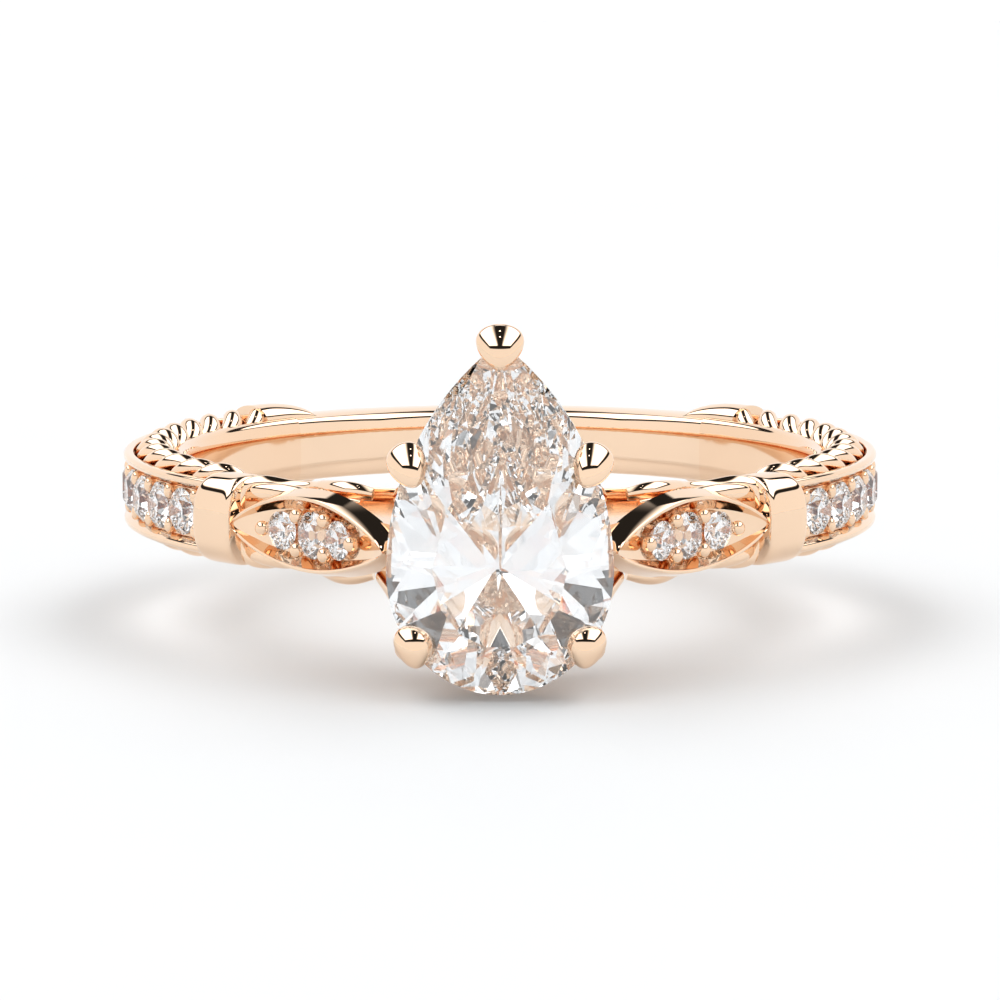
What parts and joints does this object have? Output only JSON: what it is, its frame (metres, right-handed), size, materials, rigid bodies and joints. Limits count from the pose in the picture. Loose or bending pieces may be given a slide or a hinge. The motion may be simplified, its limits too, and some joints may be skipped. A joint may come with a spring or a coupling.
{
  "type": "engagement ring",
  "caption": "Rose-gold engagement ring with a pear-cut stone in a claw head, stone-set leaf shoulders, collars, and bead-set sides between twisted ropes.",
  "frame": {"origin": "centre of the finger bore, at the middle of the band's width", "axes": "+Z along the finger axis towards the pear's point; -Y out through the head and the centre stone; +X to the right as seen from the head side"},
  "size_m": [0.0202, 0.0234, 0.0089],
  "materials": {
    "gold_polished": "mirror-polished rose gold",
    "gold_bore": "polished rose gold, worn by the finger",
    "gold_rope": "polished rose gold wire, darker between the strands",
    "gold_claws": "mirror-polished rose gold",
    "gold_beads": "burnished rose gold",
    "gold_recess": "rose gold, less polished in the recesses",
    "small_stones": "clear faceted round stones",
    "centre_stone": "clear faceted pear-cut stone"
  },
  "bodies": {
    "root": {"finger_sleeve": "gold_bore", "back_shank": "gold_polished", "channel_left": "gold_recess", "collar_left": "gold_polished", "side_beads_left": "gold_beads", "channel_right": "gold_recess", "collar_right": "gold_polished", "side_beads_right": "gold_beads", "side_stones_left": "small_stones", "side_stones_right": "small_stones", "rim_left_top": "gold_polished", "rim_left_bottom": "gold_polished", "rim_right_top": "gold_polished", "rim_right_bottom": "gold_polished", "rope_left_top": "gold_rope", "rope_left_bottom": "gold_rope", "rope_right_top": "gold_rope", "rope_right_bottom": "gold_rope", "leaf_cap_left_top": "gold_polished", "leaf_cap_left_bottom": "gold_polished", "leaf_cap_right_top": "gold_polished", "leaf_cap_right_bottom": "gold_polished", "ribbon_left_top": "gold_polished", "ribbon_left_bottom": "gold_polished", "ribbon_right_top": "gold_polished", "ribbon_right_bottom": "gold_polished", "arm_left": "gold_recess", "leaf_tray_left": "gold_polished", "tray_beads_left": "gold_beads", "arm_right": "gold_recess", "leaf_tray_right": "gold_polished", "tray_beads_right": "gold_beads", "tray_stone_left_1": "small_stones", "tray_stone_left_2": "small_stones", "tray_stone_left_3": "small_stones", "tray_stone_right_1": "small_stones", "tray_stone_right_2": "small_stones", "tray_stone_right_3": "small_stones", "head_base": "gold_recess", "gallery_rail": "gold_polished", "claw_tip": "gold_claws", "claw_upper_left": "gold_claws", "claw_upper_right": "gold_claws", "claw_lower_left": "gold_claws", "claw_lower_right": "gold_claws", "centre_stone": "centre_stone"}
  },
  "joints": []
}
